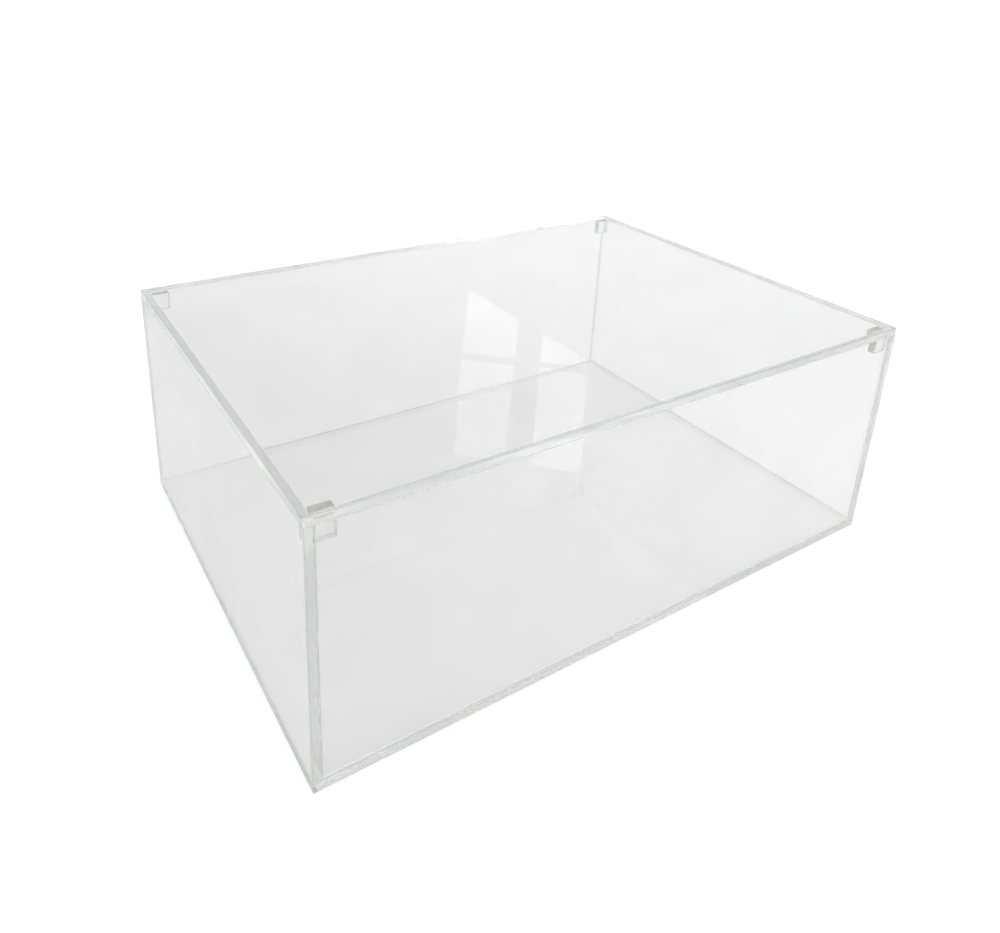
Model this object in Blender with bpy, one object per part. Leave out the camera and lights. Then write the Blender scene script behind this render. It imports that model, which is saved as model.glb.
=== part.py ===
"""Clear acrylic shoe box: a case of five cemented flat sheets and a flat lift-off lid.

The frame is in metres with +Z up. The origin is the middle of the base's underside, +X runs along
the long front of the box and the front faces -Y.
"""

import bpy
import bmesh

# Outside of the closed box.
BOX_LENGTH = 0.340
BOX_DEPTH = 0.237
BOX_HEIGHT = 0.127

# One sheet thickness is used throughout.
SHEET = 0.004

# Clearance left between two neighbouring solids: a cemented joint, or the lid lying on the walls.
JOINT_GAP = 0.0003

# Every sheet's edges are lightly broken where they turn by more than this angle in radians, and
# the lid's four corners are rounded a little more.
EDGE_BREAK = 0.0002
EDGE_BREAK_SEGMENTS = 2
EDGE_BREAK_ANGLE = 0.9
LID_CORNER_RADIUS = 0.0012
LID_CORNER_SEGMENTS = 5

# Blocks cemented under the lid's corners, which drop inside the walls and stop the lid sliding.
# Each is a small square offcut of the same sheet, standing parallel to the long walls.
BLOCK_WIDTH = 0.009
BLOCK_HEIGHT = 0.009
BLOCK_CLEARANCE = 0.0005

# Clear cast acrylic.
ACRYLIC_COLOUR = (0.97, 0.98, 0.98, 1.0)
ACRYLIC_ROUGHNESS = 0.02
ACRYLIC_IOR = 1.49

# Levels that the sheets meet at.
WALL_FOOT = SHEET + JOINT_GAP
LID_UNDERSIDE = BOX_HEIGHT - SHEET
WALL_TOP = LID_UNDERSIDE - JOINT_GAP


def clear_scene():
    """Remove every object that the file opened with."""
    for old in list(bpy.data.objects):
        bpy.data.objects.remove(old, do_unlink=True)


def acrylic_material(name):
    """Clear acrylic, for one piece."""
    material = bpy.data.materials.new(name)
    material.use_nodes = True
    shader = material.node_tree.nodes["Principled BSDF"]
    shader.inputs["Base Color"].default_value = ACRYLIC_COLOUR
    shader.inputs["Roughness"].default_value = ACRYLIC_ROUGHNESS
    shader.inputs["Metallic"].default_value = 0.0
    shader.inputs["IOR"].default_value = ACRYLIC_IOR
    shader.inputs["Transmission Weight"].default_value = 1.0
    return material


def empty_at(name, location):
    """An empty that carries the pieces of one rigid body."""
    empty = bpy.data.objects.new(name, None)
    empty.empty_display_size = 0.03
    empty.location = location
    bpy.context.scene.collection.objects.link(empty)
    return empty


def stands_upright(edge):
    """Whether an edge of a block runs along Z."""
    first, second = edge.verts
    return abs(first.co.z - second.co.z) > 0.0


def sheet_mesh(name, size, corner_radius=0.0):
    """A flat cut sheet centred on its own origin, with its upright corners rounded if asked."""
    mesh = bpy.data.meshes.new(name)
    shape = bmesh.new()
    bmesh.ops.create_cube(shape, size=1.0)
    bmesh.ops.scale(shape, vec=size, verts=shape.verts)
    if corner_radius > 0.0:
        upright = [edge for edge in shape.edges if stands_upright(edge)]
        bmesh.ops.bevel(
            shape,
            geom=upright,
            offset=corner_radius,
            offset_type="OFFSET",
            segments=LID_CORNER_SEGMENTS,
            profile=0.5,
            affect="EDGES",
        )
    shape.to_mesh(mesh)
    shape.free()
    return mesh


def add_piece(name, size, centre, parent, corner_radius=0.0):
    """One acrylic piece of the given size, with its centre given in the box's own frame."""
    piece = bpy.data.objects.new(name, sheet_mesh(name, size, corner_radius))
    piece.data.materials.append(acrylic_material(name + "_acrylic"))
    bpy.context.scene.collection.objects.link(piece)
    piece.parent = parent
    piece.location = [middle - base for middle, base in zip(centre, parent.location)]
    edge_break = piece.modifiers.new("edge_break", "BEVEL")
    edge_break.width = EDGE_BREAK
    edge_break.segments = EDGE_BREAK_SEGMENTS
    edge_break.limit_method = "ANGLE"
    edge_break.angle_limit = EDGE_BREAK_ANGLE
    return piece


def add_base(case):
    """The base is one full-size sheet, and the four walls stand on it."""
    size = (BOX_LENGTH, BOX_DEPTH, SHEET)
    add_piece("bottom_panel", size, (0.0, 0.0, SHEET / 2), case)


def add_end_walls(case):
    """The two short walls run the full depth, so their cut ends show in the long faces."""
    height = WALL_TOP - WALL_FOOT
    middle = (WALL_TOP + WALL_FOOT) / 2
    for name, side in (("left_panel", -1), ("right_panel", 1)):
        centre = (side * (BOX_LENGTH - SHEET) / 2, 0.0, middle)
        add_piece(name, (SHEET, BOX_DEPTH, height), centre, case)


def add_long_walls(case):
    """The two long walls fit between the short ones."""
    height = WALL_TOP - WALL_FOOT
    middle = (WALL_TOP + WALL_FOOT) / 2
    length = BOX_LENGTH - 2 * (SHEET + JOINT_GAP)
    for name, side in (("front_panel", -1), ("back_panel", 1)):
        centre = (0.0, side * (BOX_DEPTH - SHEET) / 2, middle)
        add_piece(name, (length, SHEET, height), centre, case)


def add_lid(lid):
    """The lid is one flat sheet, flush with the outside of the walls."""
    size = (BOX_LENGTH, BOX_DEPTH, SHEET)
    add_piece("lid_panel", size, (0.0, 0.0, LID_UNDERSIDE + SHEET / 2), lid, LID_CORNER_RADIUS)


def add_lid_blocks(lid):
    """Four small blocks under the lid, each one just inside a corner of the walls."""
    from_end = SHEET + BLOCK_CLEARANCE + BLOCK_WIDTH / 2
    from_front = SHEET + BLOCK_CLEARANCE + SHEET / 2
    height = LID_UNDERSIDE - JOINT_GAP - BLOCK_HEIGHT / 2
    for depth_name, depth_side in (("front", -1), ("back", 1)):
        for length_name, length_side in (("left", -1), ("right", 1)):
            centre = (
                length_side * (BOX_LENGTH / 2 - from_end),
                depth_side * (BOX_DEPTH / 2 - from_front),
                height,
            )
            name = "lid_block_" + depth_name + "_" + length_name
            add_piece(name, (BLOCK_WIDTH, SHEET, BLOCK_HEIGHT), centre, lid)


def main():
    clear_scene()
    case = empty_at("case", (0.0, 0.0, 0.0))
    lid = empty_at("lid", (0.0, 0.0, LID_UNDERSIDE))
    add_base(case)
    add_end_walls(case)
    add_long_walls(case)
    add_lid(lid)
    add_lid_blocks(lid)


main()
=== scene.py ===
"""Looks of a clear acrylic shoe box: a case of five cemented sheets and a lift-off lid.

Each sheet and block is built again in the box that its CAD node fills. The faces that are
cemented to a neighbour are faces of their own there, and light goes straight through them, as it
does through the solvent-welded joints of the real box. All places are in metres, in the part's
own frame.
"""

import math

import bmesh
import bpy
from mathutils import Matrix, Vector


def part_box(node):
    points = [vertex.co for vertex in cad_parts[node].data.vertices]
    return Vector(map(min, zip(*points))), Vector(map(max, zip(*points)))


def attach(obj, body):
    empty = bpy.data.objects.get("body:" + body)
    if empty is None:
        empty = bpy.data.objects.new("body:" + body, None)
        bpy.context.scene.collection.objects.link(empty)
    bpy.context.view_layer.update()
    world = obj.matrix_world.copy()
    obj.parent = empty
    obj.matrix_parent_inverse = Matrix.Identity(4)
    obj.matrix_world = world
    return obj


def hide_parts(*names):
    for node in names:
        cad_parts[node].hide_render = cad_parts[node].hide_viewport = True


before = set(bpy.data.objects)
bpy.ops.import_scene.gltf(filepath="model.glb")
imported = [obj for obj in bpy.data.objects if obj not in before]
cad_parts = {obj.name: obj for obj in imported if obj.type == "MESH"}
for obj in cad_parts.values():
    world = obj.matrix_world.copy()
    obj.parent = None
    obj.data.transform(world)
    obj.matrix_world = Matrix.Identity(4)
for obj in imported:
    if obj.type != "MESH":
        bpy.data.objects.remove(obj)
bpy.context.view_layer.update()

# The CAD leaves gaps at its joints and under the lid, and these are what is left of them. Cement
# stops short of a joint's rim by the dry border.
CEMENT_FILM = 0.00002
LID_SEAT = 0.00005
DRY_BORDER = 0.0008

# Edges that turn sharply are lightly broken, and finely so round a joint and at the lid's seat.
FREE_BREAK = 0.0002
FINE_BREAK = 0.00007
BREAK_SEGMENTS = 2
SHARP_TURN = 1.2
LID_CORNER_RADIUS = 0.0012
LID_CORNER_SEGMENTS = 6

# How close two places are to count as one, and how square a face is to lie across an axis.
NEAR = 0.0002
SQUARE_ON = 0.99

# The names of the two rigid bodies, and the pieces that ride on each.
CASE = "case"
LID = "lid"
WALLS = ("front_panel", "back_panel", "left_panel", "right_panel")
LONG_WALLS = ("front_panel", "back_panel")
END_WALLS = ("left_panel", "right_panel")
BLOCKS = (
    "lid_block_front_left",
    "lid_block_front_right",
    "lid_block_back_left",
    "lid_block_back_right",
)

# Material slots on every piece.
SHEET_FACE = 0
CUT_EDGE = 1
CEMENTED = 2

# Clear cast acrylic.
IOR = 1.49
ABSORPTION_COLOUR = (0.85, 0.88, 0.86, 1.0)
ABSORPTION_DENSITY = 0.5
CLEAREST = (0.965, 0.967, 0.966, 1.0)
DULLEST = (0.945, 0.948, 0.946, 1.0)
SHADE_PER_SURFACE = (0.99, 0.99, 0.99, 1.0)
CEMENT_TINT = (0.995, 0.995, 0.995, 1.0)

# Marks on the cast faces: slight waves, hairline scratches, haze and dust.
CLOUDS_PER_METRE = 22.0
CLOUD_ENDS = (0.35, 0.7)
WAVES_PER_METRE = 16.0
WAVE_DEPTH = 0.00005
SCRATCH_TURNS = ((0.3, 0.2, 0.5), (0.9, -0.4, 1.9))
SCRATCH_STRETCHES = ((9.0, 1500.0, 1500.0), (12.0, 1300.0, 1300.0))
SCRATCH_ENDS = (0.76, 0.84)
SCRATCH_ROUGHNESS = 0.1
SCRATCH_SHARE_OF_WAVE = 0.004
HAZE_PER_METRE = 9.0
HAZE_ENDS = (0.45, 0.75)
HAZE_ROUGHNESS = 0.006
# Dust and bubbles are given as spacing, radius and share of the cells that have one.
DUST = (0.011, 0.00022, 0.35)
DUST_ROUGHNESS = 0.45
SPECK_CORE = 0.6

# Inside the cemented joints: dry spots and bubbles.
DRY_SPOTS_PER_METRE = 130.0
DRY_SPOT_ENDS = (0.66, 0.69)
DRY_ROUGHNESS = 0.02
BUBBLES = (0.004, 0.00045, 0.3)
BUBBLE_DEPTH = 0.00001

# Cut edges let less light through than cast faces. The blocks' are rougher than the sheets'.
FINISHED_ROUGHNESS = (0.08, 0.2)
FINISHED_CLEAREST = (0.95, 0.951, 0.95, 1.0)
FINISHED_DULLEST = (0.88, 0.882, 0.88, 1.0)
SAWN_ROUGHNESS = (0.1, 0.3)
SAWN_CLEAREST = (0.62, 0.625, 0.61, 1.0)
SAWN_DULLEST = (0.5, 0.505, 0.49, 1.0)
CUTTER_MARKS_PER_METRE = 420.0
CUTTER_MARK_DEPTH = 0.000004
CUTTER_MARK_ROUGHNESS = 0.02
POLISH_PER_METRE = 60.0
POLISH_ENDS = (0.35, 0.65)

# The camera: where it is, where it points, and how far the picture is shifted.
CAMERA_PLACE = (-0.25542, -0.34366, 0.30328)
CAMERA_HEADING = 32.795
CAMERA_PITCH = 20.338
CAMERA_ROLL = 2.101
CAMERA_LENS = 30.359
CAMERA_SENSOR = 36.0
CAMERA_SHIFT = (0.03793, -0.19049)
CAMERA_NEAREST = 0.01
CAMERA_FARTHEST = 180.0

# The table. Its painted shade, greyer to the left where less window light falls, is given from left
# to right, and ends some way off from the box.
TABLE_RADIUS = 60.0
TABLE_SIDES = 96
TABLE_DROP = 0.0003
TABLE_COLOUR = (0.8, 0.8, 0.8, 1.0)
TABLE_ROUGHNESS = 0.9
TABLE_SHINE = 0.1
TABLE_PAINTED_SHADE_ENDS = (-0.3, 0.3)
TABLE_PAINTED_SHADE_LEVELS = (0.795, 0.93)
TABLE_PAINTED_SHADE_REACH = (0.5, 2.0)
BLACK = (0.0, 0.0, 0.0, 1.0)
WHITE = (1.0, 1.0, 1.0, 1.0)

# The room: a bright horizon, greyer walls above it, a soft overhead light and a window.
HORIZON_LIGHT = 1.0
WALL_LIGHT = 0.72
OVERHEAD_LIGHT = 2.4
HORIZON_ENDS = (0.26, 0.5)
OVERHEAD_ENDS = (0.84, 0.93)
WINDOW_AZIMUTH = 41.8
WINDOW_ELEVATION = 26.0
WINDOW_DISTANCE = 2.5
WINDOW_RADIANCE = 7.0
PANE_SIZE = (0.2, 0.36)
PANE_PITCH = (0.29, 0.385)

# Light runs a long way inside a sheet, from face to face.
MOST_BOUNCES = 160
MOST_CEMENT_CROSSINGS = 48


# ---------------------------------------------------------------- shapes


def cad_boxes():
    """The lowest and highest corner of every CAD node, by name."""
    return {name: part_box(name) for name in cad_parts}


def cemented_pairs():
    """Every cemented joint: the piece whose cut edge is cemented, and the sheet it stands on."""
    pairs = [(wall, "bottom_panel") for wall in WALLS]
    pairs += [(long_wall, end_wall) for long_wall in LONG_WALLS for end_wall in END_WALLS]
    pairs += [(block, "lid_panel") for block in BLOCKS]
    return pairs


def gap_axis(first, second):
    """The axis along which two boxes stand apart."""
    gaps = [max(first[0][k] - second[1][k], second[0][k] - first[1][k]) for k in range(3)]
    return gaps.index(max(gaps))


def close_joint(first, second, distance):
    """Lengthen the first box until it is only this distance away from the second."""
    axis = gap_axis(first, second)
    if first[0][axis] > second[0][axis]:
        first[0][axis] = second[1][axis] + distance
    else:
        first[1][axis] = second[0][axis] - distance


def joint_area(first, second):
    """Where two boxes meet: the axis across the joint and the corners of their common area."""
    axis = gap_axis(first, second)
    low = Vector(max(a, b) for a, b in zip(first[0], second[0]))
    high = Vector(min(a, b) for a, b in zip(first[1], second[1]))
    low[axis], high[axis] = sorted((low[axis], high[axis]))
    return axis, low, high


def joints_by_piece(boxes):
    """The joint areas of every piece, after the gaps in the CAD are closed."""
    for wall in WALLS:
        close_joint(boxes[wall], boxes["lid_panel"], LID_SEAT)
    for first, second in cemented_pairs():
        close_joint(boxes[first], boxes[second], CEMENT_FILM)
    areas = {name: [] for name in boxes}
    for first, second in cemented_pairs():
        area = joint_area(boxes[first], boxes[second])
        areas[first].append(area)
        areas[second].append(area)
    return areas


def cut_planes(low, high, areas):
    """The planes that divide a piece's faces where its joint areas begin and end."""
    planes = set()
    for axis, area_low, area_high in areas:
        for k in range(3):
            if k == axis:
                continue
            for place in (area_low[k] + DRY_BORDER, area_high[k] - DRY_BORDER):
                if low[k] + NEAR < place < high[k] - NEAR:
                    planes.add((k, round(place, 7)))
    return sorted(planes)


def is_joint_face(face, areas):
    """Whether a face lies in one of the joint areas, square to the joint's own axis.

    Cement doesn't reach the rim of a joint, so a narrow border there stays an open face.
    """
    centre = face.calc_center_median()
    for axis, low, high in areas:
        margin = [NEAR if k == axis else -DRY_BORDER for k in range(3)]
        inside = all(low[k] - margin[k] < centre[k] < high[k] + margin[k] for k in range(3))
        if inside and abs(face.normal[axis]) > SQUARE_ON:
            return True
    return False


def round_upright_corners(shape, radius):
    """Round a sheet's four upright corners."""
    upright = [e for e in shape.edges if abs(e.verts[0].co.z - e.verts[1].co.z) > NEAR]
    bmesh.ops.bevel(
        shape,
        geom=upright,
        offset=radius,
        offset_type="OFFSET",
        segments=LID_CORNER_SEGMENTS,
        profile=0.5,
        affect="EDGES",
    )


def divide_faces(shape, planes):
    """Cut a mesh's faces along planes, each given as an axis and the place on it."""
    for axis, place in planes:
        point = Vector((0.0, 0.0, 0.0))
        point[axis] = place
        normal = Vector((0.0, 0.0, 0.0))
        normal[axis] = 1.0
        everything = shape.verts[:] + shape.edges[:] + shape.faces[:]
        bmesh.ops.bisect_plane(shape, geom=everything, plane_co=point, plane_no=normal)


def weigh_edges(shape, seat):
    """Give free edges the full edge break, and those at a joint or the lid's seat a finer one."""
    weight = shape.edges.layers.float.new("bevel_weight_edge")
    for edge in shape.edges:
        if edge.calc_face_angle(0.0) < SHARP_TURN:
            continue
        at_joint = any(face.material_index == CEMENTED for face in edge.link_faces)
        at_seat = all(abs(vertex.co.z - seat) < NEAR for vertex in edge.verts)
        edge[weight] = FINE_BREAK / FREE_BREAK if at_joint or at_seat else 1.0


def sheet_mesh(name, low, high, areas, seat, corner_radius):
    """A cut sheet that fills a box, its faces marked as sheet face, cut edge or cemented."""
    shape = bmesh.new()
    bmesh.ops.create_cube(shape, size=1.0)
    bmesh.ops.scale(shape, vec=high - low, verts=shape.verts)
    bmesh.ops.translate(shape, vec=(low + high) / 2, verts=shape.verts)
    if corner_radius:
        round_upright_corners(shape, corner_radius)
    divide_faces(shape, cut_planes(low, high, areas))
    size = list(high - low)
    thin_axis = size.index(min(size))
    for face in shape.faces:
        face.normal_update()
        if is_joint_face(face, areas):
            face.material_index = CEMENTED
        elif abs(face.normal[thin_axis]) > SQUARE_ON:
            face.material_index = SHEET_FACE
        else:
            face.material_index = CUT_EDGE
    weigh_edges(shape, seat)
    mesh = bpy.data.meshes.new(name)
    shape.to_mesh(mesh)
    shape.free()
    return mesh


def add_sheet(node_name, piece_name, body, boxes, areas, edge_material, corner_radius=0.0):
    """One sheet or block of acrylic that stands for a CAD node and rides with its body."""
    low, high = boxes[node_name]
    seat = boxes["lid_panel"][0].z
    mesh = sheet_mesh(piece_name, low, high, areas[node_name], seat, corner_radius)
    piece = bpy.data.objects.new(piece_name, mesh)
    bpy.context.scene.collection.objects.link(piece)
    for material in (SHEET_MATERIAL, edge_material, CEMENT_MATERIAL):
        mesh.materials.append(material)
    edge_break = piece.modifiers.new("edge_break", "BEVEL")
    edge_break.width = FREE_BREAK
    edge_break.segments = BREAK_SEGMENTS
    edge_break.limit_method = "WEIGHT"
    edge_break.material = CUT_EDGE
    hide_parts(node_name)
    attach(piece, body)
    return piece


def add_case(boxes, areas):
    """The base and the four walls that are cemented on it."""
    for node_name in ("bottom_panel",) + WALLS:
        piece_name = node_name.replace("panel", "sheet")
        piece = add_sheet(node_name, piece_name, CASE, boxes, areas, FINISHED_EDGE_MATERIAL)


def add_lid(boxes, areas):
    """The lid sheet and the four blocks cemented under its corners."""
    radius = LID_CORNER_RADIUS
    piece = add_sheet("lid_panel", "lid_sheet", LID, boxes, areas, FINISHED_EDGE_MATERIAL, radius)
    for name in BLOCKS:
        piece_name = name.replace("lid_block", "corner_block")
        piece = add_sheet(name, piece_name, LID, boxes, areas, SAWN_EDGE_MATERIAL)


# ---------------------------------------------------------------- materials


def add_node(tree, kind, inputs=None, **settings):
    """A shader node with its settings, and with its inputs set to values or linked to sockets."""
    made = tree.nodes.new(kind)
    for name, value in settings.items():
        setattr(made, name, value)
    for name, value in (inputs or {}).items():
        if isinstance(value, bpy.types.NodeSocket):
            tree.links.new(value, made.inputs[name])
        else:
            made.inputs[name].default_value = value
    return made


def maths(tree, operation, first, second):
    """The result of a Math node."""
    node = add_node(tree, "ShaderNodeMath", {0: first, 1: second}, operation=operation)
    return node.outputs[0]


def rise(tree, value, start, end, low=0.0, high=1.0):
    """A value that goes smoothly from low to high as another goes from start to end."""
    inputs = {"Value": value, "From Min": start, "From Max": end, "To Min": low, "To Max": high}
    node = add_node(tree, "ShaderNodeMapRange", inputs, interpolation_type="SMOOTHSTEP")
    return node.outputs["Result"]


def noise(tree, place, scale, detail=1.0, turn=(0.0, 0.0, 0.0), stretch=(1.0, 1.0, 1.0)):
    """Noise of a scale given in features per metre, turned and stretched if asked."""
    mapping_inputs = {"Vector": place, "Rotation": turn, "Scale": stretch}
    mapping = add_node(tree, "ShaderNodeMapping", mapping_inputs)
    inputs = {"Vector": mapping.outputs["Vector"], "Scale": scale, "Detail": detail}
    return add_node(tree, "ShaderNodeTexNoise", inputs).outputs["Fac"]


def specks(tree, place, spacing, radius, share):
    """Round specks of a radius in metres, on some share of the cells, that fade past their core."""
    inputs = {"Vector": place, "Scale": 1.0 / spacing, "Randomness": 1.0}
    cells = add_node(tree, "ShaderNodeTexVoronoi", inputs)
    edge = radius / spacing
    dot = rise(tree, cells.outputs["Distance"], edge * SPECK_CORE, edge, 1.0, 0.0)
    chance = add_node(tree, "ShaderNodeSeparateColor", {"Color": cells.outputs["Color"]})
    chosen = maths(tree, "LESS_THAN", chance.outputs[0], share)
    return maths(tree, "MULTIPLY", dot, chosen)


def new_material(name):
    """An empty node material and the places in the object that its textures read."""
    material = bpy.data.materials.new(name)
    material.use_nodes = True
    tree = material.node_tree
    tree.nodes.clear()
    place = add_node(tree, "ShaderNodeTexCoord").outputs["Object"]
    return material, tree, place


def clear_shader(tree, colour, roughness, height, depth):
    """Solid clear acrylic. Shadow rays and rays from matt surfaces go straight through it."""
    bump = add_node(tree, "ShaderNodeBump", {"Height": height, "Distance": depth})
    inputs = {
        "Base Color": colour,
        "Roughness": roughness,
        "IOR": IOR,
        "Transmission Weight": 1.0,
        "Normal": bump.outputs["Normal"],
    }
    solid = add_node(tree, "ShaderNodeBsdfPrincipled", inputs)
    clear = add_node(tree, "ShaderNodeBsdfTransparent", {"Color": SHADE_PER_SURFACE})
    ray = add_node(tree, "ShaderNodeLightPath")
    shader = solid.outputs[0]
    for kind in ("Is Diffuse Ray", "Is Shadow Ray"):
        inputs = {0: ray.outputs[kind], 1: shader, 2: clear.outputs[0]}
        shader = add_node(tree, "ShaderNodeMixShader", inputs).outputs[0]
    return shader


def finish_material(tree, surface):
    """Connect the surface, and the faint tint that long ways through acrylic pick up."""
    absorption = {"Color": ABSORPTION_COLOUR, "Density": ABSORPTION_DENSITY}
    volume = add_node(tree, "ShaderNodeVolumeAbsorption", absorption)
    inputs = {"Surface": surface, "Volume": volume.outputs[0]}
    add_node(tree, "ShaderNodeOutputMaterial", inputs)


def scratches(tree, place):
    """Hairline scratches in two directions, as lines where stretched noise peaks."""
    directions = zip(SCRATCH_TURNS, SCRATCH_STRETCHES)
    first, second = (noise(tree, place, 1.0, 2.0, turn, stretch) for turn, stretch in directions)
    peak = maths(tree, "MAXIMUM", first, second)
    return rise(tree, peak, *SCRATCH_ENDS)


def mixed_colour(tree, factor, first, second):
    """A colour between two others."""
    node = add_node(tree, "ShaderNodeMix", None, data_type="RGBA")
    for place, value in ((6, first), (7, second)):
        if isinstance(value, bpy.types.NodeSocket):
            tree.links.new(value, node.inputs[place])
        else:
            node.inputs[place].default_value = value
    tree.links.new(factor, node.inputs[0])
    return node.outputs[2]


def cloudy_colour(tree, place, clearest, dullest):
    """A surface's own faint unevenness, from its clearest to its dullest."""
    factor = rise(tree, noise(tree, place, CLOUDS_PER_METRE, 3.0), *CLOUD_ENDS)
    return mixed_colour(tree, factor, clearest, dullest)


def face_material():
    """The sheets' cast faces: very flat and glossy, with hairline scratches and a little dust."""
    material, tree, place = new_material("clear_acrylic_face")
    marks = scratches(tree, place)
    dust = specks(tree, place, *DUST)
    haze = noise(tree, place, HAZE_PER_METRE, 2.0)
    roughness = rise(tree, haze, *HAZE_ENDS, 0.0, HAZE_ROUGHNESS)
    for flaw, share in ((marks, SCRATCH_ROUGHNESS), (dust, DUST_ROUGHNESS)):
        roughness = maths(tree, "ADD", roughness, maths(tree, "MULTIPLY", flaw, share))
    waves = noise(tree, place, WAVES_PER_METRE, 0.0)
    grooves = maths(tree, "MULTIPLY", marks, SCRATCH_SHARE_OF_WAVE)
    height = maths(tree, "SUBTRACT", waves, grooves)
    colour = cloudy_colour(tree, place, CLEAREST, DULLEST)
    shader = clear_shader(tree, colour, roughness, height, WAVE_DEPTH)
    finish_material(tree, shader)
    return material


def edge_material(name, roughness_range, clearest, dullest):
    """Cut edges, with fine cutter marks and patches that are polished more or less."""
    material, tree, place = new_material(name)
    marks = noise(tree, place, CUTTER_MARKS_PER_METRE, 2.0)
    patches = noise(tree, place, POLISH_PER_METRE, 2.0)
    polish = rise(tree, patches, *POLISH_ENDS, *roughness_range)
    roughness = maths(tree, "ADD", polish, maths(tree, "MULTIPLY", marks, CUTTER_MARK_ROUGHNESS))
    colour = cloudy_colour(tree, place, clearest, dullest)
    shader = clear_shader(tree, colour, roughness, marks, CUTTER_MARK_DEPTH)
    finish_material(tree, shader)
    return material


def cement_material():
    """Cemented faces: light goes straight through, apart from small bubbles and dry spots."""
    material, tree, place = new_material("acrylic_cement")
    dry = rise(tree, noise(tree, place, DRY_SPOTS_PER_METRE, 3.0), *DRY_SPOT_ENDS)
    bubbles = specks(tree, place, *BUBBLES)
    open_spots = maths(tree, "MAXIMUM", dry, bubbles)
    solid = clear_shader(tree, CLEAREST, DRY_ROUGHNESS, bubbles, BUBBLE_DEPTH)
    through = add_node(tree, "ShaderNodeBsdfTransparent", {"Color": CEMENT_TINT})
    inputs = {0: open_spots, 1: through.outputs[0], 2: solid}
    shader = add_node(tree, "ShaderNodeMixShader", inputs).outputs[0]
    finish_material(tree, shader)
    return material


# ---------------------------------------------------------------- setting


def table_material():
    """A plain pale matt table. Near the box it has painted shade: it is a little greyer, most on
    the left, where less window light falls.

    Where the camera sees it bare it stays pure white, as in a picture that has been cut out.
    """
    material, tree, place = new_material("table")
    side = add_node(tree, "ShaderNodeSeparateXYZ", {0: place}).outputs["X"]
    # Painted shade: the table is greyer to the left, where less window light falls, and the shade
    # fades out away from the box.
    painted_shade_by_side = rise(tree, side, *TABLE_PAINTED_SHADE_ENDS, *TABLE_PAINTED_SHADE_LEVELS)
    away = add_node(tree, "ShaderNodeVectorMath", {0: place}, operation="LENGTH").outputs["Value"]
    painted_shade_fade_out = rise(tree, away, *TABLE_PAINTED_SHADE_REACH)
    bare = add_node(tree, "ShaderNodeLightPath").outputs["Is Camera Ray"]
    painted_shade_level = maths(tree, "MAXIMUM", painted_shade_by_side, maths(tree, "MAXIMUM", painted_shade_fade_out, bare))
    colour = mixed_colour(tree, painted_shade_level, BLACK, TABLE_COLOUR)
    inputs = {
        "Base Color": colour,
        "Roughness": TABLE_ROUGHNESS,
        "Specular IOR Level": TABLE_SHINE,
    }
    shader = add_node(tree, "ShaderNodeBsdfPrincipled", inputs)
    add_node(tree, "ShaderNodeOutputMaterial", {"Surface": shader.outputs[0]})
    return material


def add_table():
    """A round table top so wide that its rim is lost in the horizon."""
    mesh = bpy.data.meshes.new("table")
    shape = bmesh.new()
    bmesh.ops.create_circle(shape, cap_ends=True, segments=TABLE_SIDES, radius=TABLE_RADIUS)
    bmesh.ops.translate(shape, vec=(0.0, 0.0, -TABLE_DROP), verts=shape.verts)
    shape.to_mesh(mesh)
    shape.free()
    mesh.materials.append(table_material())
    table = bpy.data.objects.new("table", mesh)
    bpy.context.scene.collection.objects.link(table)


def add_world():
    """Light by height above the horizon: bright low down, greyer walls, bright overhead."""
    world = bpy.data.worlds.new("room")
    bpy.context.scene.world = world
    world.use_nodes = True
    tree = world.node_tree
    tree.nodes.clear()
    way = add_node(tree, "ShaderNodeTexCoord").outputs["Generated"]
    height = add_node(tree, "ShaderNodeSeparateXYZ", {0: way}).outputs["Z"]
    walls = rise(tree, height, *HORIZON_ENDS, HORIZON_LIGHT, WALL_LIGHT)
    overhead = rise(tree, height, *OVERHEAD_ENDS, 0.0, OVERHEAD_LIGHT)
    strength = maths(tree, "ADD", walls, overhead)
    background = add_node(tree, "ShaderNodeBackground", {"Strength": strength})
    background.inputs["Color"].default_value = WHITE
    add_node(tree, "ShaderNodeOutputWorld", {"Surface": background.outputs[0]})


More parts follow.
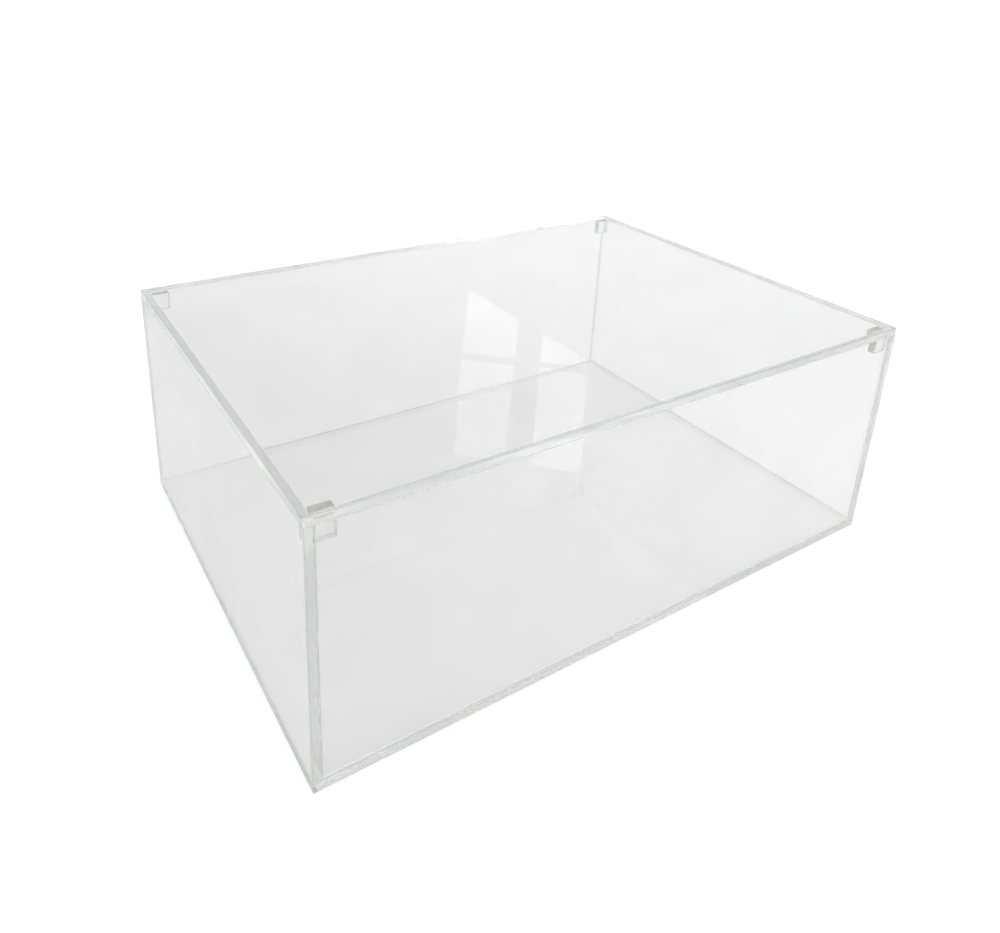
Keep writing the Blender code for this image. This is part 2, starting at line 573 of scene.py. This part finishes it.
def add_window():
    """Four soft panes of light, low at the front right, that mirror in the sheets."""
    light = bpy.data.lights.new("window_pane", "AREA")
    light.shape = "RECTANGLE"
    light.size, light.size_y = PANE_SIZE
    light.energy = WINDOW_RADIANCE * math.pi * light.size * light.size_y
    heading = Matrix.Rotation(math.radians(WINDOW_AZIMUTH), 4, "Z")
    tilt = Matrix.Rotation(math.radians(90.0 - WINDOW_ELEVATION), 4, "X")
    for across in (-0.5, 0.5):
        for up in (-0.5, 0.5):
            place = (across * PANE_PITCH[0], up * PANE_PITCH[1], WINDOW_DISTANCE)
            pane = bpy.data.objects.new("window_pane", light)
            pane.matrix_world = heading @ tilt @ Matrix.Translation(place)
            bpy.context.scene.collection.objects.link(pane)


def add_camera():
    """The camera, which looks down over the near left corner of the box."""
    data = bpy.data.cameras.new("camera")
    data.sensor_width = CAMERA_SENSOR
    data.lens = CAMERA_LENS
    data.shift_x, data.shift_y = CAMERA_SHIFT
    data.clip_start = CAMERA_NEAREST
    data.clip_end = CAMERA_FARTHEST
    camera = bpy.data.objects.new("camera", data)
    heading = Matrix.Rotation(math.radians(-CAMERA_HEADING), 4, "Z")
    pitch = Matrix.Rotation(math.radians(90.0 - CAMERA_PITCH), 4, "X")
    roll = Matrix.Rotation(math.radians(CAMERA_ROLL), 4, "Z")
    camera.matrix_world = Matrix.Translation(CAMERA_PLACE) @ heading @ pitch @ roll
    bpy.context.scene.collection.objects.link(camera)
    bpy.context.scene.camera = camera


def set_light_paths():
    """Let rays pass through as many sheets as the box can put in their way."""
    scene = bpy.context.scene
    scene.view_settings.view_transform = "Standard"
    scene.cycles.max_bounces = MOST_BOUNCES
    scene.cycles.transmission_bounces = MOST_BOUNCES
    scene.cycles.glossy_bounces = MOST_BOUNCES
    scene.cycles.transparent_max_bounces = MOST_CEMENT_CROSSINGS
    scene.cycles.use_denoising = True


SHEET_MATERIAL = face_material()
FINISHED_EDGE_MATERIAL = edge_material(
    "clear_acrylic_edge", FINISHED_ROUGHNESS, FINISHED_CLEAREST, FINISHED_DULLEST
)
SAWN_EDGE_MATERIAL = edge_material(
    "clear_acrylic_sawn_edge", SAWN_ROUGHNESS, SAWN_CLEAREST, SAWN_DULLEST
)
CEMENT_MATERIAL = cement_material()


def main():
    boxes = cad_boxes()
    areas = joints_by_piece(boxes)
    add_case(boxes, areas)
    add_lid(boxes, areas)
    add_table()
    add_world()
    add_window()
    add_camera()
    set_light_paths()


main()
